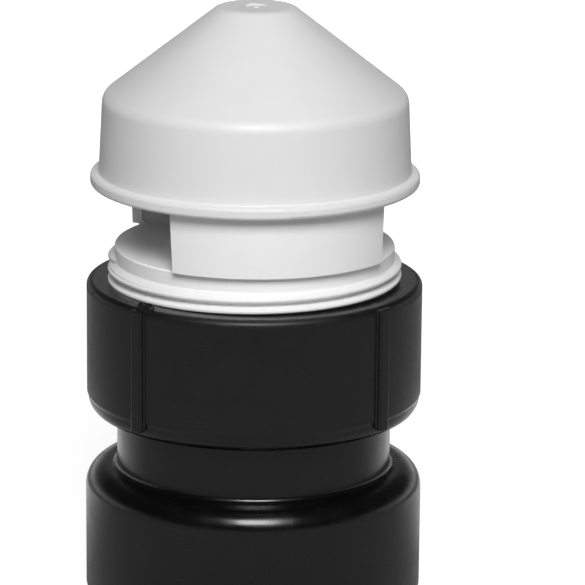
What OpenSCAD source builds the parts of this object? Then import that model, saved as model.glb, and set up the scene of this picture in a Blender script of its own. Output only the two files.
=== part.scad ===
// Air admittance valve with its solvent-weld adapter.
// Everything turns about the Z axis. Z = 0 is the open end of the pipe socket, and the vent
// rises along +Z. The two air windows face +X and -X, and the two wall panels +Y and -Y.

/* [Pipe socket] */
// Outside diameter of the drain pipe that the socket takes
pipe_od = 60.3; // [54:0.1:68]
// Radial room for solvent cement between the pipe and the socket
socket_gap = 0.1; // [0.05:0.01:0.3]
// Depth of the socket, from its mouth to its stop shoulder
socket_depth = 19.05; // [16:0.05:22]
// Wall of the socket hub
socket_wall = 4.55; // [3.5:0.05:6]
// Height of the chamfer that leads the pipe into the socket
socket_lead = 1; // [0.5:0.1:2]
// Height from the stop shoulder to where the hub's sloping top meets the line of its side
stop_wall = 6.7; // [5:0.05:10]
// Rise of the sloping top, from the hub's side to the neck
socket_top_rise = 0.2; // [0:0.1:3]
// Rounding of the hub's shoulder
shoulder_round = 4.3; // [2:0.1:6]
// Rounding of the hub's lower edge
socket_edge = 0.6; // [0.3:0.1:1.5]

/* [Neck] */
// Bore of the neck
neck_bore_d = 48.6; // [44:0.1:50]
// Wall of the neck
neck_wall = 4; // [3:0.1:4.6]
// Height of the neck between the two hubs
neck_h = 11.85; // [6:0.05:16]
// Fillet where the neck meets the socket hub
neck_fillet = 1; // [0.4:0.1:1.2]

/* [Thread hub] */
// Wall of the thread hub, outside the thread's crests
thread_hub_wall = 4.35; // [3.5:0.05:6]
// Height of the thread hub
thread_hub_h = 27.6; // [26:0.1:36]
// Rounding of the hub's lower edge
thread_hub_round = 3.2; // [1:0.1:5]
// Height of the mould parting step above the hub's underside
parting_h = 3.3; // [1:0.1:10]
// Depth of the mould parting step
parting_step = 0.3; // [0.1:0.05:0.4]
// Height over which the parting step slopes out
parting_rise = 0.8; // [0.2:0.1:1.5]
// Rounding of the hub's top edge
thread_hub_edge = 1.2; // [0.3:0.1:1.5]
// Depth of the female thread
female_depth = 20; // [17:0.1:21]
// Chamfer that opens the mouth of the female thread
mouth_chamfer = 0.5; // [0.3:0.1:2.6]
// Width of a grip rib
rib_w = 2.9; // [2:0.1:5]
// How far a grip rib stands out from the hub
rib_proud = 1; // [0.6:0.1:2]
// Rounding of a grip rib's long edges
rib_edge = 0.6; // [0.2:0.05:0.95]
// Fillet between a grip rib and the hub
rib_fillet = 0.4; // [0.2:0.05:0.8]
// Distance from the hub's underside to a rib's lower tip
rib_low = 1.9; // [0.5:0.1:6]
// Distance from the hub's top to a rib's upper end
rib_high = 0.3; // [0.2:0.1:6]
// Number of grip ribs
rib_n = 4; // [2:1:8]
// Turn of the first grip rib from -Y towards +X, in degrees
rib_turn = 35.5; // [0:0.1:90]

/* [Pipe thread] */
// Outside diameter over the male thread
thread_od = 60.3; // [54:0.1:68]
// Depth of the male thread, from crest to root
thread_deep = 1.5; // [1:0.1:1.8]
// Radial fit of the male thread's root in the female thread
thread_fit = 0.05; // [0.02:0.01:0.1]
// Wall of the threaded tube, under the thread
tube_wall = 2.9; // [2:0.1:4]
// Length of the threaded tube inside the thread hub
tube_engaged = 16.5; // [12:0.1:16.9]
// Length of male thread that stays in view above the hub
thread_exposed = 2.7; // [2:0.1:9]

/* [Valve body] */
// Radius by which the flange stands out from the round plate
flange_step = 1.1; // [0.5:0.05:1.6]
// Height of the flange's upright edge
flange_h = 0.5; // [0.3:0.1:3]
// Radius by which the round plate stands out from the panels' inner face
plate_grip = 0.8; // [0.6:0.05:1.2]
// Height of the round plate's upright edge
plate_h = 3.1; // [0.8:0.05:4]
// Thickness of the round plate, inside the threaded tube
plate_t = 3; // [2:0.1:4]
// Outside diameter of the riser tube
riser_od = 32.8; // [28:0.1:40]
// Wall of the riser tube
riser_wall = 2.2; // [1.6:0.1:3]
// Fillet at the foot of the riser tube
riser_fillet = 2; // [0.5:0.1:2]
// Outside diameter of the wall panels and the ring above them
panel_od = 60.6; // [54:0.1:70]
// Thickness of the wall panels and the ring
panel_wall = 2.4; // [2.2:0.1:2.8]
// Height of the panels' lower edge above the plate, where they overhang it
panel_lift = 0.1; // [0.05:0.05:1]
// Size of the fillet that ties a panel's foot to the plate
panel_foot = 1.2; // [0.6:0.1:1.4]
// Width of an air window at the plate, in degrees of arc
window_deg = 90; // [60:1:110]
// Lean of a window's two sides towards each other, in degrees from upright
window_draft = 3.5; // [0:0.5:5]
// Height of the air windows above the plate
window_h = 13; // [10:0.05:16]
// Thickness of the webs that tie the riser to the panels, beside the windows
web_t = 2; // [1.4:0.1:3]
// Distance of a web from the window's side, in degrees of arc
web_set = 1.5; // [1:0.1:6]
// Distance from the top of the ring down to the webs' top
web_drop = 2; // [0.5:0.1:6]
// How far a seat's lip stands up from its wall
seat_lip = 0.6; // [0.3:0.1:0.9]
// Flat width on top of a seat's lip
seat_land = 0.7; // [0.4:0.1:1]

/* [Cap] */
// Radial fit of the cap over the ring
cap_fit = 0.1; // [0.05:0.01:0.2]
// Wall of the skirt at its lower edge
skirt_wall = 1.65; // [1.4:0.05:2.6]
// Draft of the skirt, in degrees
skirt_draft = 2.8; // [0.5:0.1:3.2]
// How far the rolled rim stands out from the skirt
rim_proud = 1.6; // [1.3:0.05:2.5]
// Thickness of the rolled rim from top to bottom
rim_h = 2.5; // [1.5:0.1:4]
// Rounding of the rolled rim's lower edge
rim_low_round = 0.8; // [0.3:0.1:2]
// Rounding of the rolled rim's upper edge
rim_round = 0.8; // [0.5:0.1:1.2]
// Fillet between the skirt and the rolled rim
rim_fillet = 0.3; // [0.2:0.1:2]
// How far the skirt hangs below the top of the windows
skirt_overlap = 0.3; // [0.1:0.05:2]
// Height of the skirt, from its lower edge to the line of the cone
skirt_h = 18.35; // [16:0.05:26]
// Rounding between the skirt and the cone
cone_round = 3.2; // [1:0.1:4]
// Slope of the cone, in degrees from level
cone_deg = 38; // [34:0.1:45]
// Radius of the flat top
top_r = 7.8; // [7.5:0.1:12]
// Rounding of the flat top's edge
top_round = 2.6; // [0.5:0.1:3]
// Thickness of the cone's wall
cone_wall = 1.8; // [1.4:0.1:2.2]
// Width of the inner shoulder that sits on the ring
stop_w = 0.8; // [0.5:0.05:1]
// Radius of the gate dimple in the flat top
dimple_r = 2.4; // [1.5:0.1:4]
// Depth of the gate dimple
dimple_deep = 0.35; // [0.2:0.05:0.6]
// Radius of the gate mark left in the dimple
gate_r = 0.55; // [0.3:0.05:1]
// Height of the gate mark
gate_h = 0.3; // [0.1:0.05:0.6]

/* [Moving seal] */
// Lift of the seal from its seats to its stop
seal_lift = 5; // [3:0.1:6]
// Room left between the lifted carrier and the cone
head_room = 1; // [0.5:0.1:2]
// Thickness of the membrane
membrane_t = 1.4; // [0.8:0.1:2]
// Room round the membrane and the snap lip
seal_room = 0.35; // [0.3:0.05:0.5]
// How far the carrier's plate stops short of the membrane's edge
plate_back = 1.2; // [0.6:0.1:2]
// Thickness of the carrier's plate and spokes
carrier_t = 1.4; // [1:0.1:1.8]
// Wall of the carrier's collar
collar_wall = 1.4; // [1:0.1:2]
// Height of the snap lip below the membrane
lip_h = 1.3; // [0.8:0.1:2]
// How far the snap lip reaches under the membrane
lip_reach = 0.6; // [0.3:0.1:0.9]
// Number of spokes
spoke_n = 4; // [3:1:6]
// Width of a spoke
spoke_w = 2.6; // [2:0.1:4]
// Turn of the first spoke from +X, in degrees
spoke_turn = 45; // [0:1:90]
// Height of the carrier's hub above the spokes
hub_h = 1.4; // [1:0.1:2]
// Depth of the carrier's hub below the spokes
hub_deep = 1.4; // [0.6:0.1:3]
// Diameter of the guide stem
stem_d = 5.6; // [4:0.1:6.4]
// Room left between the lifted stem and the cap's ceiling
stem_clear = 3.4; // [1:0.1:5]
// Radial room of the stem in its guide
stem_room = 0.3; // [0.3:0.05:0.5]
// Wall of the guide tube
guide_wall = 1.7; // [1.2:0.1:2.2]
// Room left between the hub and the guide tube at full lift
stop_room = 0.05; // [0.05:0.01:0.2]

/* [Hidden] */
$fn = 128;
// Overlap that joins the pieces of one solid
weld = 0.2;
// Rounding of small moulded edges
edge = 0.4;

// Radii of the adapter
socket_r = pipe_od / 2 + socket_gap;
socket_hub_r = socket_r + socket_wall;
neck_bore_r = neck_bore_d / 2;
neck_r = neck_bore_r + neck_wall;
shoulder_r = min(shoulder_round, socket_hub_r - neck_r - neck_fillet);
thread_r = thread_od / 2;
thread_hub_r = thread_r + thread_hub_wall;
parting_r = thread_hub_r - parting_step;
hub_round_r = min(thread_hub_round, parting_h, parting_r - neck_r - neck_fillet);
rib_fillet_r = min(rib_fillet, rib_proud / 2);
rib_edge_r = min(rib_edge, rib_proud - rib_fillet_r);
root_r = thread_r - thread_deep;
female_r = root_r + thread_fit;
tube_bore_r = root_r - tube_wall;

// Heights of the adapter
socket_hub_h = socket_depth + stop_wall;
neck_z = socket_hub_h + socket_top_rise;
thread_hub_z = neck_z + neck_h;
hub_top_z = thread_hub_z + thread_hub_h;
female_floor_z = hub_top_z - female_depth;
floor_slope_h = female_r - neck_bore_r;

// Radii of the valve body
panel_r = panel_od / 2;
panel_in_r = panel_r - panel_wall;
plate_r = max(panel_in_r + plate_grip, female_r);
flange_r = plate_r + flange_step;
riser_r = riser_od / 2;
riser_bore_r = riser_r - riser_wall;
riser_fillet_r = min(riser_fillet, plate_r - riser_r - edge);
inner_seat_r = riser_bore_r + riser_wall / 2;
outer_seat_r = panel_in_r + seat_land / 2 + seat_lip / 2;
// A web's window side touches a circle inside the riser's wall and meets the panel beside the window
web_r = riser_bore_r + edge;
web_angle = window_deg / 2 + web_set + acos(web_r / panel_in_r);
web_len = sqrt(pow(panel_r - edge, 2) - pow(web_r + web_t, 2));

// Heights of the valve body
tube_end_z = hub_top_z - tube_engaged;
flange_z = hub_top_z + thread_exposed;
slope_z = flange_z + flange_h;
plate_z = slope_z + flange_step + plate_h;
window_z = plate_z + window_h;

// The cap fits over the ring
cap_bore_r = panel_r + cap_fit;
stop_r = panel_r - stop_w;
skirt_z = window_z - skirt_overlap;
skirt_r = cap_bore_r + skirt_wall;
rim_r = skirt_r + rim_proud;
rim_fillet_r = min(rim_fillet, rim_proud - rim_round);
rim_low_r = min(rim_low_round, rim_h - rim_round);
cone_z = skirt_z + skirt_h;
cone_r = skirt_r - skirt_h * tan(skirt_draft);
top_z = cone_z + (cone_r - top_r) * tan(cone_deg);
cone_wall_z = cone_wall / cos(cone_deg);
ceiling_z = top_z - cone_wall;
ceiling_r = cone_r - (ceiling_z + cone_wall_z - cone_z) / tan(cone_deg);
// Height of the cone's underside at radius r
function under_z(r) = cone_z + (cone_r - r) * tan(cone_deg) - cone_wall_z;

// Radii of the moving seal
lip_r = riser_bore_r - seal_room;
collar_r = lip_r - lip_reach;
collar_in_r = collar_r - collar_wall;
membrane_r = stop_r - seal_room;
carrier_r = membrane_r - plate_back;
stem_r = stem_d / 2;
guide_r = stem_r + stem_room;
guide_out_r = guide_r + guide_wall;

// Heights of the moving seal, counted down from the cone that it lifts towards
carrier_top_z = under_z(carrier_r) - head_room - seal_lift;
membrane_top_z = carrier_top_z - carrier_t;
seat_z = membrane_top_z - membrane_t;
ring_top_z = seat_z - seat_lip;
carrier_hub_z = carrier_top_z + hub_h;
stem_top_z = ceiling_z - seal_lift - stem_clear;
guide_z = carrier_hub_z + seal_lift + stop_room;

// Corner helpers: a corner is [distance from the axis, height, rounding]
function unit(v) = v / norm(v);
function turn(a, b, c) = cross(b - a, c - b);
function half_angle(a, b, c) = acos(unit(a - b) * unit(c - b)) / 2;

// The sliver between a sharp corner b and its rounding of radius r
module corner_sliver(a, b, c, r) {
  half = half_angle(a, b, c);
  centre = b + unit(unit(a - b) + unit(c - b)) * r / sin(half);
  leg = r / tan(half);
  reach = 1 + weld / r;
  out_a = centre + (b + unit(a - b) * leg - centre) * reach;
  out_b = centre + (b - centre) * reach;
  out_c = centre + (b + unit(c - b) * leg - centre) * reach;
  difference() {
    polygon([centre, out_a, out_b, out_c]);
    translate(centre) circle(r);
  }
}

// An outline, counter-clockwise, with its corners rounded by true arcs
module outline(corners) {
  n = len(corners);
  p = [for (c = corners) [c[0], c[1]]];
  before = [for (i = [0 : n - 1]) p[(i + n - 1) % n]];
  after = [for (i = [0 : n - 1]) p[(i + 1) % n]];
  bend = [for (i = [0 : n - 1]) turn(before[i], p[i], after[i]) * corners[i][2]];
  difference() {
    union() {
      polygon(p);
      for (i = [0 : n - 1]) if (bend[i] < 0) corner_sliver(before[i], p[i], after[i], corners[i][2]);
    }
    for (i = [0 : n - 1]) if (bend[i] > 0) corner_sliver(before[i], p[i], after[i], corners[i][2]);
  }
}

// A plain tube from z0 to z1
module tube(r_out, r_in, z0, z1) {
  translate([0, 0, z0]) difference() {
    cylinder(r = r_out, h = z1 - z0);
    translate([0, 0, -weld]) cylinder(r = r_in, h = z1 - z0 + 2 * weld);
  }
}

// One grip rib: an upright bead with a filleted foot and a round lower tip
module grip_rib() {
  low = thread_hub_z + rib_low;
  high = hub_top_z - rib_high;
  face = thread_hub_r + rib_proud;
  root = thread_hub_r - thread_hub_wall / 2;
  half = rib_w / 2;
  foot = half + rib_fillet_r;
  base = sqrt(pow(thread_hub_r, 2) - pow(foot, 2)) - weld / 10;
  intersection() {
    translate([0, 0, low]) linear_extrude(high - low) outline([
      [-half, -face, rib_edge_r],
      [half, -face, rib_edge_r],
      [half, -base, rib_fillet_r],
      [foot, -base, 0],
      [foot, -root, 0],
      [-foot, -root, 0],
      [-foot, -base, 0],
      [-half, -base, rib_fillet_r]
    ]);
    translate([0, -root, 0]) rotate([90, 0, 0]) linear_extrude(face - root) {
      translate([-foot, low + foot]) square([2 * foot, high - low]);
      translate([0, low + foot]) circle(foot);
    }
    rotate([90, 0, 90]) translate([0, 0, -foot]) linear_extrude(2 * foot) outline([
      [-face, low, rib_edge_r],
      [-root, low, 0],
      [-root, high, 0],
      [-face, high, rib_edge_r / 2]
    ]);
  }
}

module adapter() {
  color("#1c1c1e") {
    rotate_extrude() outline([
      [socket_r + socket_lead / 2, 0, 0],
      [socket_hub_r, 0, socket_edge],
      [socket_hub_r, socket_hub_h, shoulder_r],
      [neck_r, neck_z, neck_fillet],
      [neck_r, thread_hub_z, neck_fillet / 2],
      [parting_r, thread_hub_z, hub_round_r],
      [parting_r, thread_hub_z + parting_h, 0],
      [thread_hub_r, thread_hub_z + parting_h + parting_rise, 0],
      [thread_hub_r, hub_top_z, thread_hub_edge],
      [female_r + mouth_chamfer, hub_top_z, 0],
      [female_r, hub_top_z - mouth_chamfer, 0],
      [female_r, female_floor_z, 0],
      [neck_bore_r, female_floor_z - floor_slope_h, 0],
      [neck_bore_r, socket_depth, 0],
      [socket_r, socket_depth, 0],
      [socket_r, socket_lead, 0]
    ]);
    for (i = [0 : rib_n - 1]) rotate(rib_turn + 360 / rib_n * i) grip_rib();
  }
}

// A seat: a low lip with a flat land, round the axis at radius r
module seat(r) {
  land = seat_land / 2;
  foot = land + seat_lip / 2;
  rotate_extrude() polygon([
    [r - foot, ring_top_z - weld],
    [r + foot, ring_top_z - weld],
    [r + foot, ring_top_z],
    [r + land, seat_z],
    [r - land, seat_z],
    [r - foot, ring_top_z]
  ]);
}

// The gap between two panels on the +X side: a wedge whose two sides lean together towards the top
module window_wedge() {
  far = panel_r * 2;
  half = window_deg / 2;
  translate([0, 0, plate_z]) intersection() {
    translate([0, -far, 0]) cube([far, 2 * far, window_h]);
    rotate(-half) rotate([-window_draft, 0, 0]) translate([0, 0, -far]) cube([far, far, 2 * far]);
    rotate(half) rotate([window_draft, 0, 0]) translate([0, -far, -far]) cube([far, far, 2 * far]);
  }
}

// The two wall panels, with their feet on the plate, and the ring above the windows
module panel_wall_ring() {
  difference() {
    rotate_extrude() polygon([
      [panel_in_r - panel_foot, plate_z - weld],
      [plate_r - weld, plate_z - weld],
      [plate_r - weld, plate_z + panel_lift],
      [panel_r, plate_z + panel_lift],
      [panel_r, ring_top_z],
      [panel_in_r, ring_top_z],
      [panel_in_r, plate_z + panel_foot],
      [panel_in_r - panel_foot, plate_z]
    ]);
    for (side = [0, 180]) rotate(side) window_wedge();
  }
}

// The two flat webs beside the +X window, from the riser to the panels
module window_webs() {
  for (side = [-1, 1]) rotate(side * web_angle) translate([web_r, side > 0 ? -web_len : 0, plate_z - weld])
    cube([web_t, web_len, ring_top_z - web_drop - plate_z + weld]);
}

module valve_body() {
  color("#f2f2f0") {
    rotate_extrude() outline([
      [tube_bore_r, tube_end_z, 0],
      [root_r, tube_end_z, edge],
      [root_r, flange_z, 0],
      [flange_r, flange_z, edge],
      [flange_r, slope_z, edge],
      [plate_r, slope_z + flange_step, edge / 2],
      [plate_r, plate_z, edge],
      [riser_r, plate_z, riser_fillet_r],
      [riser_r, ring_top_z, 0],
      [riser_bore_r, ring_top_z, 0],
      [riser_bore_r, plate_z - plate_t, edge],
      [tube_bore_r, plate_z - plate_t, edge]
    ]);
    panel_wall_ring();
    for (side = [0, 180]) rotate(side) window_webs();
    seat(inner_seat_r);
    seat(outer_seat_r);
  }
}

module cap() {
  color("#f2f2f0") {
    difference() {
      rotate_extrude() outline([
        [cap_bore_r, skirt_z, edge],
        [rim_r, skirt_z, rim_low_r],
        [rim_r, skirt_z + rim_h, rim_round],
        [skirt_r - rim_h * tan(skirt_draft), skirt_z + rim_h, rim_fillet_r],
        [cone_r, cone_z, cone_round],
        [top_r, top_z, top_round],
        [0, top_z, 0],
        [0, ceiling_z, 0],
        [ceiling_r, ceiling_z, edge],
        [stop_r, under_z(stop_r), edge],
        [stop_r, ring_top_z, 0],
        [cap_bore_r, ring_top_z, 0]
      ]);
      translate([0, 0, top_z - dimple_deep])
        cylinder(r1 = dimple_r - dimple_deep, r2 = dimple_r + weld, h = dimple_deep + weld);
    }
    translate([0, 0, top_z - dimple_deep - weld]) cylinder(r = gate_r, h = weld + gate_h);
    tube(guide_out_r, guide_r, guide_z, ceiling_z + weld);
  }
}

module seal_carrier() {
  color("#d9dadb") {
    rotate_extrude() outline([
      [collar_in_r, seat_z - lip_h, 0],
      [collar_r, seat_z - lip_h, 0],
      [lip_r, seat_z - lip_h / 2, 0],
      [lip_r, seat_z, 0],
      [collar_r, seat_z, 0],
      [collar_r, membrane_top_z, 0],
      [carrier_r, membrane_top_z, 0],
      [carrier_r, carrier_top_z, edge],
      [collar_in_r, carrier_top_z, edge]
    ]);
    for (i = [0 : spoke_n - 1]) rotate(spoke_turn + 360 / spoke_n * i)
      translate([0, -spoke_w / 2, membrane_top_z]) cube([collar_r - collar_wall / 2, spoke_w, carrier_t]);
    rotate_extrude() outline([
      [0, membrane_top_z - hub_deep, 0],
      [guide_out_r, membrane_top_z - hub_deep, edge],
      [guide_out_r, carrier_hub_z, edge],
      [stem_r, carrier_hub_z, 0],
      [stem_r, stem_top_z, stem_r / 2],
      [0, stem_top_z, 0]
    ]);
  }
}

module seal_membrane() {
  color("#3a3a3c") rotate_extrude() outline([
    [collar_r, seat_z, 0],
    [membrane_r, seat_z, edge],
    [membrane_r, membrane_top_z, edge],
    [collar_r, membrane_top_z, 0]
  ]);
}

adapter();
valve_body();
cap();
seal_carrier();
seal_membrane();
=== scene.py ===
# %% [markdown]
# # An air admittance valve on its black adapter
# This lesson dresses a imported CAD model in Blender. The valve lets room air into a drain pipe: a white conical cap
# sits over two side windows, a floating seal closes the pipe from inside, and a black adapter below is glued to
# it. The solids come from the CAD source and stay as they are. Here they get their finishes, the screw thread that
# shows between the white body and the black adapter, one mark of moulding, a studio and a camera.

import math

import bpy
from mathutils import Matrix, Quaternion, Vector


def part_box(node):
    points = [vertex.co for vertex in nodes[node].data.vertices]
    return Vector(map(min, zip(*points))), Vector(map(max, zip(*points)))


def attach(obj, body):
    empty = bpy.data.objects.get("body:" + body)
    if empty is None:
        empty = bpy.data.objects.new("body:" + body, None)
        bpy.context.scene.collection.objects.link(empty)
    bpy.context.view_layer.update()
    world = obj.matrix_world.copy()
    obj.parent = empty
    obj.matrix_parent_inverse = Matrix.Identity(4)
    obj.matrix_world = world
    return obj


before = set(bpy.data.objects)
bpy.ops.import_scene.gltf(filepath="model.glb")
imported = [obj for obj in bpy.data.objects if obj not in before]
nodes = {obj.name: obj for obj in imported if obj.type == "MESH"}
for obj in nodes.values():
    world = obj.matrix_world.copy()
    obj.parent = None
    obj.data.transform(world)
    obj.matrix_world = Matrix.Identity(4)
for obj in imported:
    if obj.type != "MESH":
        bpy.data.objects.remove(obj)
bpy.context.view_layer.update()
MM = 0.001
for name in sorted(nodes):
    low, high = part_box(name)
    print(name, "z from", round(low.z / MM, 1), "to", round(high.z / MM, 1), "mm")

# %% [markdown]
# ## The camera
# The photograph was taken with a long lens from a little above. Its height, turn and distance were worked out from
# the ellipses of the round edges. The valve stands left of the middle of the picture, so the lens is shifted
# sideways, as on a view camera, and the picture leans by a third of a degree.

# %% Camera
FRAME_PX = 585
FOCAL_PX = 3888
SENSOR_MM = 36
CAMERA_TURN = -12.5
CAMERA_RISE = 14.9
CAMERA_AWAY = 0.8
CAMERA_LEAN = 0.36
TARGET = Vector((0, 0, 0.061))
TARGET_PX = (254.36, 298.27)


def towards(turn, rise):
    """The direction from the valve to a place that is turned from -Y towards +X and raised, both in degrees."""
    a, e = math.radians(turn), math.radians(rise)
    return Vector((math.cos(e) * math.sin(a), -math.cos(e) * math.cos(a), math.sin(e)))


bpy.ops.object.select_all(action="DESELECT")
bpy.ops.object.camera_add(location=TARGET + towards(CAMERA_TURN, CAMERA_RISE) * CAMERA_AWAY)
camera = bpy.context.object
camera.name = "camera"
look = -towards(CAMERA_TURN, CAMERA_RISE)
lean = Quaternion((0, 0, 1), math.radians(CAMERA_LEAN))
camera.rotation_euler = (look.to_track_quat("-Z", "Y") @ lean).to_euler()
camera.data.sensor_width = SENSOR_MM
camera.data.lens = FOCAL_PX / FRAME_PX * SENSOR_MM
camera.data.shift_x = (FRAME_PX / 2 - TARGET_PX[0]) / FRAME_PX
camera.data.shift_y = (TARGET_PX[1] - FRAME_PX / 2) / FRAME_PX
camera.data.clip_start = 0.05
bpy.context.scene.camera = camera
shift = [round(value, 4) for value in (camera.data.shift_x, camera.data.shift_y)]
print("lens", round(camera.data.lens, 1), "mm, shift", shift)

# %% [markdown]
# ## Colours and nodes
# Two small tools serve every finish. One turns a colour as written for a screen into the linear values that
# the shaders work with. The other adds a node, sets it up and links it, so that a material reads as a list of
# steps.

# %% Helpers for materials


def linear(hex_colour):
    """A screen colour such as "#f0f0ee" as linear red, green, blue and alpha."""
    parts = [int(hex_colour[i:i + 2], 16) / 255 for i in (1, 3, 5)]
    return [p / 12.92 if p <= 0.04045 else ((p + 0.055) / 1.055) ** 2.4 for p in parts] + [1.0]


def add(tree, kind, settings=None, inputs=None):
    """Adds one node. Settings are its own properties, and each input is a value or an output socket to link."""
    node = tree.nodes.new(kind)
    for key, value in (settings or {}).items():
        setattr(node, key, value)
    for key, value in (inputs or {}).items():
        if isinstance(value, bpy.types.NodeSocket):
            tree.links.new(value, node.inputs[key])
        else:
            node.inputs[key].default_value = value
    return node


def new_material(name):
    """A material with nothing in it but its output node."""
    material = bpy.data.materials.new(name)
    material.use_nodes = True
    material.node_tree.nodes.clear()
    output = add(material.node_tree, "ShaderNodeOutputMaterial")
    return material, material.node_tree, output


# %% [markdown]
# ## White moulded plastic
# The valve body and the cap are injection-moulded in white plastic. A polished mould leaves a satin skin: the
# highlight is broad and soft, the colour drifts very slightly where the melt flowed, and the skin carries a faint
# orange peel. The rolled rim is what hands and shelves touch, so it is a little greyer and duller there.

# %% White plastic
RING_BLEND_MM = 0.8
HEIGHT_BLEND_MM = 0.5


def ring_zone(tree, place, radius_mm, low_mm, high_mm):
    """Rises from 0 to 1 on what stands outside a radius and between two heights."""
    split = add(tree, "ShaderNodeSeparateXYZ", inputs={0: place})
    flat = add(tree, "ShaderNodeCombineXYZ", inputs={0: split.outputs["X"], 1: split.outputs["Y"]})
    radius = add(tree, "ShaderNodeVectorMath", {"operation": "LENGTH"}, {0: flat.outputs[0]})
    out = add(tree, "ShaderNodeMapRange", {"interpolation_type": "SMOOTHSTEP"},
              {0: radius.outputs["Value"], 1: (radius_mm - RING_BLEND_MM) * MM, 2: radius_mm * MM})
    low = add(tree, "ShaderNodeMapRange", {"interpolation_type": "SMOOTHSTEP"},
              {0: split.outputs["Z"], 1: (low_mm - HEIGHT_BLEND_MM) * MM, 2: low_mm * MM})
    high = add(tree, "ShaderNodeMapRange", {"interpolation_type": "SMOOTHSTEP"},
               {0: split.outputs["Z"], 1: (high_mm + HEIGHT_BLEND_MM) * MM, 2: high_mm * MM})
    band = add(tree, "ShaderNodeMath", {"operation": "MULTIPLY"}, {0: low.outputs[0], 1: high.outputs[0]})
    zone = add(tree, "ShaderNodeMath", {"operation": "MULTIPLY"}, {0: band.outputs[0], 1: out.outputs[0]})
    return zone.outputs[0]


def white_plastic(name, dark, pale, rim_radius_mm, rim_low_mm, rim_high_mm):
    """Satin white plastic, with handling marks on what stands outside a radius between two heights."""
    material, tree, output = new_material(name)
    place = add(tree, "ShaderNodeTexCoord").outputs["Object"]
    # Flow drift: soft patches about 14 mm wide, drawn stronger than life so that they show.
    drift = add(tree, "ShaderNodeTexNoise", inputs={"Vector": place, "Scale": 1 / 0.014, "Detail": 3.0})
    tint = add(tree, "ShaderNodeMix", {"data_type": "RGBA"},
               {0: drift.outputs["Fac"], 6: linear(dark), 7: linear(pale)})
    # Handling marks on the rim: grey smudges 2 mm wide where the surface stands far out.
    zone = ring_zone(tree, place, rim_radius_mm, rim_low_mm, rim_high_mm)
    smudge = add(tree, "ShaderNodeTexNoise", inputs={"Vector": place, "Scale": 1 / 0.002, "Detail": 4.0})
    patch = add(tree, "ShaderNodeMapRange", inputs={0: smudge.outputs["Fac"], 1: 0.5, 2: 0.72})
    wear = add(tree, "ShaderNodeMath", {"operation": "MULTIPLY"}, {0: zone, 1: patch.outputs[0]})
    part = add(tree, "ShaderNodeMath", {"operation": "MULTIPLY"}, {0: wear.outputs[0], 1: 0.07})
    colour = add(tree, "ShaderNodeMix", {"data_type": "RGBA"},
                 {0: part.outputs[0], 6: tint.outputs[2], 7: linear("#cacaca")})
    # Gloss varies in patches about 4 mm wide, and the marks are duller.
    cloud = add(tree, "ShaderNodeTexNoise", inputs={"Vector": place, "Scale": 1 / 0.004, "Detail": 4.0})
    gloss = add(tree, "ShaderNodeMapRange", inputs={0: cloud.outputs["Fac"], 1: 0.3, 2: 0.7, 3: 0.42, 4: 0.52})
    rough = add(tree, "ShaderNodeMath", {"operation": "MULTIPLY_ADD"},
                {0: wear.outputs[0], 1: 0.15, 2: gloss.outputs[0]})
    # Orange peel: waves about 1.1 mm long and a hundredth of a millimetre high, and a finer mould grain on top.
    peel = add(tree, "ShaderNodeTexNoise", inputs={"Vector": place, "Scale": 1 / 0.0011, "Detail": 1.0})
    grain = add(tree, "ShaderNodeTexNoise", inputs={"Vector": place, "Scale": 1 / 0.00035, "Detail": 2.0})
    skin = add(tree, "ShaderNodeMath", {"operation": "MULTIPLY_ADD"},
               {0: grain.outputs["Fac"], 1: 0.35, 2: peel.outputs["Fac"]})
    bump = add(tree, "ShaderNodeBump", inputs={"Strength": 0.25, "Distance": 0.00002, "Height": skin.outputs[0]})
    shader = add(tree, "ShaderNodeBsdfPrincipled",
                 inputs={"Base Color": colour.outputs[2], "Roughness": rough.outputs[0], "IOR": 1.53,
                         "Normal": bump.outputs[0]})
    tree.links.new(shader.outputs[0], output.inputs["Surface"])
    return material


# Radius, lowest and highest place of the cap's rolled rim and of the body's flange, in millimetres.
CAP_RIM = (33.6, 85.5, 88.0)
BODY_FLANGE = (30.2, 66.0, 73.6)
cap_finish = white_plastic("white_moulded_plastic_cap", "#e8e8e8", "#f0f0f0", *CAP_RIM)
body_finish = white_plastic("white_moulded_plastic_body", "#f6f6f6", "#fbfbfb", *BODY_FLANGE)
print("white plastic:", cap_finish.name, body_finish.name)

# %% [markdown]
# ## Black ABS
# Drain fittings are moulded in black ABS. Carbon black takes nearly all the colour away, so what the eye reads is
# the gloss: a soft mirror with an uneven skin, duller where it was scuffed in a bin with other fittings. The
# scuffs here are faint thin streaks that lie round the hubs, with a few upright ones.

# %% Black ABS
# Radius, lowest and highest place of the upper hub's rubbed edge, in millimetres.
HUB_EDGE = (33.6, 64.0, 65.5)


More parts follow.
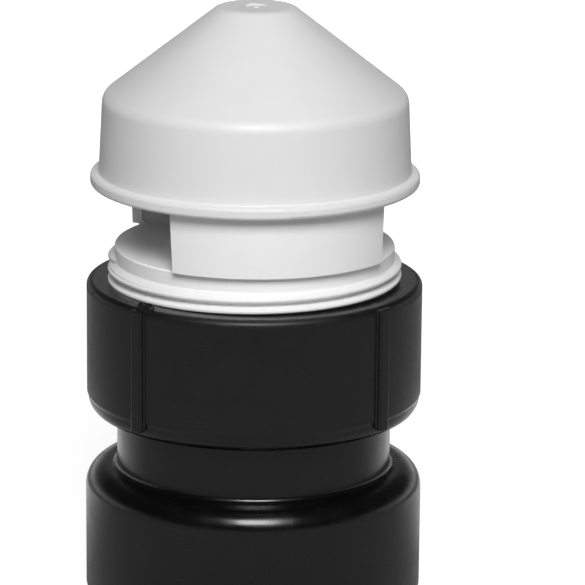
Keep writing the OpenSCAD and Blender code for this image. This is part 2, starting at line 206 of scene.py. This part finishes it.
def black_abs(name):
    """Semi-gloss black ABS with an uneven moulded skin, scuffs and dust."""
    material, tree, output = new_material(name)
    place = add(tree, "ShaderNodeTexCoord").outputs["Object"]
    # Carbon black, a shade lighter in patches about 9 mm wide.
    drift = add(tree, "ShaderNodeTexNoise", inputs={"Vector": place, "Scale": 1 / 0.009, "Detail": 4.0})
    tint = add(tree, "ShaderNodeMix", {"data_type": "RGBA"},
               {0: drift.outputs["Fac"], 6: linear("#060607"), 7: linear("#0c0c0d")})
    # Scuffs: streaks 20 mm long and 0.25 mm high round the hubs, and shorter upright ones.
    round_way = add(tree, "ShaderNodeMapping", inputs={"Vector": place, "Scale": (50, 50, 3600)})
    upright_way = add(tree, "ShaderNodeMapping", inputs={"Vector": place, "Scale": (2600, 2600, 70)})
    round_streak = add(tree, "ShaderNodeTexNoise",
                       inputs={"Vector": round_way.outputs[0], "Scale": 1.0, "Detail": 2.0})
    upright_streak = add(tree, "ShaderNodeTexNoise",
                         inputs={"Vector": upright_way.outputs[0], "Scale": 1.0, "Detail": 2.0})
    round_scuff = add(tree, "ShaderNodeMapRange", inputs={0: round_streak.outputs["Fac"], 1: 0.64, 2: 0.74})
    upright_scuff = add(tree, "ShaderNodeMapRange", inputs={0: upright_streak.outputs["Fac"], 1: 0.68, 2: 0.76})
    both = add(tree, "ShaderNodeMath", {"operation": "MAXIMUM"},
               {0: round_scuff.outputs[0], 1: upright_scuff.outputs[0]})
    # Scuffs come in patches about 16 mm wide.
    rubbed = add(tree, "ShaderNodeTexNoise", inputs={"Vector": place, "Scale": 1 / 0.016, "Detail": 2.0})
    where = add(tree, "ShaderNodeMapRange", inputs={0: rubbed.outputs["Fac"], 1: 0.5, 2: 0.68})
    scuff = add(tree, "ShaderNodeMath", {"operation": "MULTIPLY"}, {0: both.outputs[0], 1: where.outputs[0]})
    # Dust: specks about 0.3 mm wide, far apart.
    specks = add(tree, "ShaderNodeTexVoronoi", inputs={"Vector": place, "Scale": 1 / 0.0032})
    dust = add(tree, "ShaderNodeMapRange", inputs={0: specks.outputs["Distance"], 1: 0.06, 2: 0.03})
    thin = add(tree, "ShaderNodeMath", {"operation": "MULTIPLY"}, {0: dust.outputs[0], 1: 0.25})
    pale = add(tree, "ShaderNodeMath", {"operation": "MULTIPLY_ADD"},
               {0: scuff.outputs[0], 1: 0.08, 2: thin.outputs[0]})
    colour = add(tree, "ShaderNodeMix", {"data_type": "RGBA"},
                 {0: pale.outputs[0], 6: tint.outputs[2], 7: linear("#5a5a5c")})
    # Gloss varies in patches about 5 mm wide, and the scuffs are duller.
    cloud = add(tree, "ShaderNodeTexNoise", inputs={"Vector": place, "Scale": 1 / 0.005, "Detail": 4.0})
    gloss = add(tree, "ShaderNodeMapRange", inputs={0: cloud.outputs["Fac"], 1: 0.3, 2: 0.7, 3: 0.2, 4: 0.3})
    scuffed = add(tree, "ShaderNodeMath", {"operation": "MULTIPLY_ADD"},
                  {0: scuff.outputs[0], 1: 0.12, 2: gloss.outputs[0]})
    # The top edge of the upper hub is rubbed dull.
    rubbed_edge = ring_zone(tree, place, *HUB_EDGE)
    rough = add(tree, "ShaderNodeMath", {"operation": "MULTIPLY_ADD"},
                {0: rubbed_edge, 1: 0.24, 2: scuffed.outputs[0]})
    # Moulded skin: waves about 1.6 mm long, and the scuffs cut into it.
    peel = add(tree, "ShaderNodeTexNoise", inputs={"Vector": place, "Scale": 1 / 0.0016, "Detail": 2.0})
    skin = add(tree, "ShaderNodeMath", {"operation": "MULTIPLY_ADD"},
               {0: scuff.outputs[0], 1: -0.3, 2: peel.outputs["Fac"]})
    bump = add(tree, "ShaderNodeBump", inputs={"Strength": 0.3, "Distance": 0.00002, "Height": skin.outputs[0]})
    shader = add(tree, "ShaderNodeBsdfPrincipled",
                 inputs={"Base Color": colour.outputs[2], "Roughness": rough.outputs[0], "IOR": 1.54,
                         "Normal": bump.outputs[0]})
    tree.links.new(shader.outputs[0], output.inputs["Surface"])
    return material


adapter_finish = black_abs("black_abs")
print("black ABS:", adapter_finish.name)

# %% [markdown]
# ## The seal's plastics
# Inside, the carrier is natural unpainted plastic with a cloudy, slightly waxy look, and the membrane is a soft
# silicone ring with a fine matt bloom. The housing hides them, but whoever lifts the cap off sees them, so they get
# their own finish. One function serves both, because both are plain mouldings with clouds and a grain.

# %% Seal finishes


def seal_finish(name, pale, dark, rough_low, rough_high, grain_mm, ior):
    """A plain moulded finish with clouds of two tones and a grain of a given size."""
    material, tree, output = new_material(name)
    place = add(tree, "ShaderNodeTexCoord").outputs["Object"]
    cloud = add(tree, "ShaderNodeTexNoise", inputs={"Vector": place, "Scale": 1 / 0.006, "Detail": 4.0})
    tint = add(tree, "ShaderNodeMix", {"data_type": "RGBA"},
               {0: cloud.outputs["Fac"], 6: linear(dark), 7: linear(pale)})
    rough = add(tree, "ShaderNodeMapRange",
                inputs={0: cloud.outputs["Fac"], 1: 0.3, 2: 0.7, 3: rough_low, 4: rough_high})
    grain = add(tree, "ShaderNodeTexNoise", inputs={"Vector": place, "Scale": 1 / (grain_mm * MM), "Detail": 2.0})
    bump = add(tree, "ShaderNodeBump",
               inputs={"Strength": 0.3, "Distance": 0.00003, "Height": grain.outputs["Fac"]})
    shader = add(tree, "ShaderNodeBsdfPrincipled",
                 inputs={"Base Color": tint.outputs[2], "Roughness": rough.outputs[0], "IOR": ior,
                         "Normal": bump.outputs[0]})
    tree.links.new(shader.outputs[0], output.inputs["Surface"])
    return material


carrier_finish = seal_finish("natural_polypropylene", "#d6d7d4", "#c4c6c4", 0.38, 0.5, 0.5, 1.49)
membrane_finish = seal_finish("black_silicone", "#3a3a3b", "#2c2c2d", 0.6, 0.75, 0.4, 1.41)


def finish_with(obj, material):
    """Gives an object this one material."""
    obj.data.materials.clear()
    obj.data.materials.append(material)


finish_with(nodes["adapter"], adapter_finish)
finish_with(nodes["valve_body"], body_finish)
finish_with(nodes["cap"], cap_finish)
finish_with(nodes["seal_carrier"], carrier_finish)
finish_with(nodes["seal_membrane"], membrane_finish)
print("finishes on", len(nodes), "CAD nodes")

# %% [markdown]
# ## The screw thread
# The white body screws into the adapter with a pipe thread, and its last turns stay in view. A thread is one ridge
# that climbs round the tube by its pitch with each turn. It could be cut as a groove, but by hand it is quicker
# to draw the ridge's section once, as a small flat shape beside the axis, and sweep it with the Screw modifier.
# The tip of the section is bevelled, because moulded threads are never sharp. At both ends the ridge sinks
# away into the tube, as it does on a real thread's run-out.

# %% Thread ridge
PITCH = 2.209 * MM
THREAD_SUNK = 28.3 * MM
THREAD_CREST = 30.15 * MM
CREST_WIDTH = 0.62 * MM
ROOT_WIDTH = 2.1 * MM
CREST_ROUND = 0.22 * MM
FRONT_CREST_Z = 68.25 * MM
START_TURN = -1080
END_TURN = 284
STEP_DEG = 4


def select_where(obj, test):
    """In edit mode, selects the vertices whose place passes the test."""
    bpy.ops.object.mode_set(mode="OBJECT")
    for part in (obj.data.polygons, obj.data.edges, obj.data.vertices):
        for item in part:
            item.select = False
    for vertex in obj.data.vertices:
        vertex.select = test(vertex.co)
    bpy.ops.object.mode_set(mode="EDIT")


bpy.ops.object.select_all(action="DESELECT")
bpy.ops.mesh.primitive_plane_add(size=1, location=(0, 0, 0))
thread = bpy.context.object
thread.name = "thread_ridge"
bpy.ops.object.mode_set(mode="EDIT")
bpy.ops.mesh.select_mode(type="VERT")
bpy.ops.transform.rotate(value=math.pi / 2, orient_axis="X", center_override=(0, 0, 0))
bpy.ops.transform.resize(value=(THREAD_CREST - THREAD_SUNK, 1, ROOT_WIDTH))
bpy.ops.transform.translate(value=((THREAD_CREST + THREAD_SUNK) / 2, 0, 0))
half_way = (THREAD_CREST + THREAD_SUNK) / 2
select_where(thread, lambda co: co.x > half_way)
bpy.ops.transform.resize(value=(1, 1, CREST_WIDTH / ROOT_WIDTH), center_override=(THREAD_CREST, 0, 0))
bpy.ops.mesh.bevel(offset=CREST_ROUND, segments=3, affect="VERTICES")
bpy.ops.mesh.select_mode(type="FACE")
bpy.ops.mesh.select_all(action="SELECT")
bpy.ops.mesh.delete(type="ONLY_FACE")
bpy.ops.object.mode_set(mode="OBJECT")
section = len(thread.data.vertices)

sweep = thread.modifiers.new("climb", "SCREW")
turns = (END_TURN - START_TURN) / 360
sweep.axis = "Z"
sweep.angle = math.radians(END_TURN - START_TURN)
sweep.screw_offset = PITCH * turns
sweep.steps = sweep.render_steps = round((END_TURN - START_TURN) / STEP_DEG)
sweep.use_merge_vertices = False
bpy.ops.object.modifier_apply(modifier=sweep.name)
print("thread ridge:", section, "points in the section,", len(thread.data.vertices), "after the sweep")

# %% [markdown]
# The sweep leaves the ridge starting beside +X at height 0. It is turned so that its front crest faces the camera
# at the measured height, then each end is drawn in towards the tube over a short arc.

# %% Thread place and run-out
RUN_IN_DEG = 40
RUN_OUT_DEG = 16
rows = len(thread.data.vertices) // section
first_angle = CAMERA_TURN + START_TURN - 90
first_z = FRONT_CREST_Z + PITCH * START_TURN / 360
bpy.ops.object.mode_set(mode="EDIT")
bpy.ops.mesh.select_all(action="SELECT")
bpy.ops.mesh.fill_holes(sides=0)
bpy.ops.mesh.normals_make_consistent(inside=False)
bpy.ops.object.mode_set(mode="OBJECT")
for index, vertex in enumerate(thread.data.vertices):
    along = index // section * (END_TURN - START_TURN) / (rows - 1)
    rise = min(along / RUN_IN_DEG, (END_TURN - START_TURN - along) / RUN_OUT_DEG, 1)
    rise = math.sin(rise * math.pi / 2)
    flat = Vector((vertex.co.x, vertex.co.y))
    reach = THREAD_SUNK + (flat.length - THREAD_SUNK) * rise
    angle = math.atan2(flat.y, flat.x) + math.radians(first_angle)
    vertex.co = (reach * math.cos(angle), reach * math.sin(angle), vertex.co.z + first_z)
bpy.ops.object.shade_smooth_by_angle(angle=math.radians(40))
finish_with(thread, body_finish)
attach(thread, "housing")
print("thread from z", round(min(v.co.z for v in thread.data.vertices) / MM, 1), "to",
      round(max(v.co.z for v in thread.data.vertices) / MM, 1), "mm")

# %% [markdown]
# ## The gate mark
# Melt enters the mould of the adapter at the top of one grip rib. The frozen stub is snapped off by hand and leaves
# a rough lump there. It could be sculpted, but a small block will do: it is narrowed at the top, subdivided, and
# its points are shaken by a fixed random pattern, so that the break looks torn and comes out the same on every run.

# %% Gate mark
GATE_TURN = -52.3
GATE_RADIUS = 33.75 * MM
GATE_Z = 65.7 * MM
GATE_SIZE = (3.7 * MM, 2.0 * MM, 1.9 * MM)
GATE_TOP = (0.8, 0.55, 1)
GATE_TEAR = 0.16 * MM

bpy.ops.object.select_all(action="DESELECT")
bpy.ops.mesh.primitive_cube_add(size=1, location=(0, 0, 0))
gate = bpy.context.object
gate.name = "gate_mark"
bpy.ops.object.mode_set(mode="EDIT")
bpy.ops.transform.resize(value=GATE_SIZE)
select_where(gate, lambda co: co.z > 0)
bpy.ops.transform.resize(value=GATE_TOP)
bpy.ops.mesh.select_all(action="SELECT")
bpy.ops.mesh.subdivide(number_cuts=4)
bpy.ops.transform.vertex_random(offset=GATE_TEAR, uniform=0.5, normal=0.5, seed=7)
bpy.ops.transform.translate(value=(0, -GATE_RADIUS, GATE_Z))
bpy.ops.transform.rotate(value=-math.radians(GATE_TURN), orient_axis="Z", center_override=(0, 0, 0))
bpy.ops.mesh.normals_make_consistent(inside=False)
bpy.ops.object.mode_set(mode="OBJECT")
bpy.ops.object.shade_smooth_by_angle(angle=math.radians(35))
finish_with(gate, adapter_finish)
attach(gate, "housing")
middle = sum((v.co for v in gate.data.vertices), Vector()) / len(gate.data.vertices)
print("gate mark at", [round(value / MM, 1) for value in middle], "mm")

# %% [markdown]
# ## The backdrop
# The valve stands before white paper in a dark room, and a glossy surface is lit by what it mirrors, so the dark
# room in front is what keeps the black plastic black. A modelled room would do this, but the world's colour can be
# worked out from the direction of the ray alone. The camera sees it as white without any more light on the valve,
# mirrored rays see white low behind and dark in front, and the rest is a weak fill.

# %% World
FRONT_FILL = 0.1
BACK_FILL = 0.7
view_line = towards(CAMERA_TURN, 0) * -1
world = bpy.data.worlds.new("backdrop")
bpy.context.scene.world = world
world.use_nodes = True
world.node_tree.nodes.clear()
room_tree = world.node_tree
path = add(room_tree, "ShaderNodeLightPath")
heading = add(room_tree, "ShaderNodeTexCoord").outputs["Generated"]
mirrored = add(room_tree, "ShaderNodeMath", {"operation": "MAXIMUM"},
               {0: path.outputs["Is Glossy Ray"], 1: path.outputs["Is Transmission Ray"]})
along = add(room_tree, "ShaderNodeVectorMath", {"operation": "DOT_PRODUCT"}, {0: heading, 1: view_line})
behind = add(room_tree, "ShaderNodeMapRange", {"interpolation_type": "SMOOTHSTEP"},
             {0: along.outputs["Value"], 1: -0.8, 2: 0.8, 3: 0.0, 4: 1.0})
climb = add(room_tree, "ShaderNodeSeparateXYZ", inputs={0: heading})
low = add(room_tree, "ShaderNodeMapRange", {"interpolation_type": "SMOOTHSTEP"},
          {0: climb.outputs["Z"], 1: 0.05, 2: 0.3, 3: 1.0, 4: 0.03})
room = add(room_tree, "ShaderNodeMath", {"operation": "MULTIPLY"}, {0: behind.outputs[0], 1: low.outputs[0]})
sweep = add(room_tree, "ShaderNodeMapRange", {"interpolation_type": "SMOOTHSTEP"},
            {0: climb.outputs["Z"], 1: 0.2, 2: 0.7, 3: BACK_FILL, 4: 0.0})
fill = add(room_tree, "ShaderNodeMapRange", {"interpolation_type": "SMOOTHSTEP"},
           {0: along.outputs["Value"], 1: 0.1, 2: 0.9, 3: FRONT_FILL, 4: sweep.outputs[0]})
unseen = add(room_tree, "ShaderNodeMix", {"data_type": "FLOAT"},
             {0: mirrored.outputs[0], 2: fill.outputs[0], 3: room.outputs[0]})
level = add(room_tree, "ShaderNodeMix", {"data_type": "FLOAT"},
            {0: path.outputs["Is Camera Ray"], 2: unseen.outputs[0], 3: 1.0})
sky = add(room_tree, "ShaderNodeBackground", inputs={"Color": linear("#ffffff"), "Strength": level.outputs[0]})
add(room_tree, "ShaderNodeOutputWorld", inputs={"Surface": sky.outputs[0]})
print("world fill", FRONT_FILL, "in front,", BACK_FILL, "behind")

# %% [markdown]
# ## The paper
# The floor is one sheet of pale paper that ends a little way in front of the valve, so that the hub's top edge
# mirrors the dark room beyond it. It is lifted to white for the camera by a glow that is added to its own shading,
# because the valve's shadow then stays. Close behind the valve mirrored rays see that white as well, and it gives
# the neck and the lower hub their bright outlines.

# %% Floor
PAPER_SIDE = 8
PAPER_FRONT = 0.33
GLOW_DEPTH = 0.09
GLOW_FADES = 0.12
GLOW_ENDS = 0.165


def floor_finish():
    """Pale paper, lifted to white for the camera, and behind the valve for mirrored rays too, so shadows stay."""
    material, tree, output = new_material("pale_paper")
    rays = add(tree, "ShaderNodeLightPath")
    place = add(tree, "ShaderNodeTexCoord").outputs["Object"]
    depth = add(tree, "ShaderNodeVectorMath", {"operation": "DOT_PRODUCT"}, {0: place, 1: view_line})
    near = add(tree, "ShaderNodeMapRange", {"interpolation_type": "SMOOTHSTEP"},
               {0: depth.outputs["Value"], 1: 0.0, 2: GLOW_DEPTH})
    away = add(tree, "ShaderNodeVectorMath", {"operation": "LENGTH"}, {0: place})
    far = add(tree, "ShaderNodeMapRange", {"interpolation_type": "SMOOTHSTEP"},
              {0: away.outputs["Value"], 1: GLOW_FADES, 2: GLOW_ENDS, 3: 0.9, 4: 0.0})
    rear = add(tree, "ShaderNodeMath", {"operation": "MULTIPLY"}, {0: near.outputs[0], 1: far.outputs[0]})
    white = add(tree, "ShaderNodeMapRange", {"interpolation_type": "SMOOTHSTEP"},
                {0: away.outputs["Value"], 1: 0.1, 2: 0.5, 3: 0.8, 4: 1.0})
    glossy = add(tree, "ShaderNodeMath", {"operation": "MAXIMUM"},
                 {0: rays.outputs["Is Glossy Ray"], 1: rays.outputs["Is Transmission Ray"]})
    white_rear = add(tree, "ShaderNodeMath", {"operation": "MULTIPLY"}, {0: glossy.outputs[0], 1: rear.outputs[0]})
    seen = add(tree, "ShaderNodeMath", {"operation": "MAXIMUM"},
               {0: rays.outputs["Is Camera Ray"], 1: white_rear.outputs[0]})
    lift = add(tree, "ShaderNodeMath", {"operation": "MULTIPLY"}, {0: seen.outputs[0], 1: white.outputs[0]})
    paper = add(tree, "ShaderNodeBsdfDiffuse", inputs={"Color": linear("#b4b4b4")})
    glow = add(tree, "ShaderNodeEmission", inputs={"Color": linear("#ffffff"), "Strength": lift.outputs[0]})
    both = add(tree, "ShaderNodeAddShader", inputs={0: paper.outputs[0], 1: glow.outputs[0]})
    tree.links.new(both.outputs[0], output.inputs["Surface"])
    return material


bpy.ops.object.select_all(action="DESELECT")
bpy.ops.mesh.primitive_plane_add(size=PAPER_SIDE, location=(0, 0, 0))
floor = bpy.context.object
floor.name = "floor"
bpy.ops.object.mode_set(mode="EDIT")
bpy.ops.transform.translate(value=(0, PAPER_SIDE / 2 - PAPER_FRONT, 0))
bpy.ops.transform.rotate(value=-math.radians(CAMERA_TURN), orient_axis="Z", center_override=(0, 0, 0))
bpy.ops.object.mode_set(mode="OBJECT")
finish_with(floor, floor_finish())
print("paper from", PAPER_FRONT, "m in front of the valve to", PAPER_SIDE - PAPER_FRONT, "m behind")

# %% [markdown]
# ## The lamps
# One square softbox stands in front, well above the camera, as the shadow under the cap's rim and the highlights on
# the black shoulders tell. A pale card stands low behind, so that the back of the valve isn't left in the dark when
# the camera goes round it. The card is kept out of reflections, where it would add a second highlight.

# %% Softbox and card


def square_lamp(name, turn, rise, away, side, power):
    """A square lamp that faces the valve from a given place, and that the camera doesn't see."""
    bpy.ops.object.select_all(action="DESELECT")
    bpy.ops.object.light_add(type="AREA", location=TARGET + towards(turn, rise) * away)
    lamp = bpy.context.object
    lamp.name = name
    lamp.data.shape = "SQUARE"
    lamp.data.size = side
    lamp.data.energy = power
    lamp.rotation_euler = (-towards(turn, rise)).to_track_quat("-Z", "Y").to_euler()
    lamp.visible_camera = False
    print(name, power, "W")
    return lamp


SOFTBOX_TURN, SOFTBOX_RISE, SOFTBOX_AWAY = CAMERA_TURN + 3, 40, 1.1
SOFTBOX_SIDE, SOFTBOX_POWER = 0.45, 10.4
CARD_TURN, CARD_RISE, CARD_AWAY = CAMERA_TURN + 180, 4, 1.0
CARD_SIDE, CARD_POWER = 0.25, 4.0
square_lamp("softbox", SOFTBOX_TURN, SOFTBOX_RISE, SOFTBOX_AWAY, SOFTBOX_SIDE, SOFTBOX_POWER)
card = square_lamp("card_behind", CARD_TURN, CARD_RISE, CARD_AWAY, CARD_SIDE, CARD_POWER)
card.visible_glossy = False

# %% [markdown]
# ## The view
# The view transform is Standard, so a colour renders about as it is written.

# %% View settings
bpy.context.scene.view_settings.view_transform = "Standard"
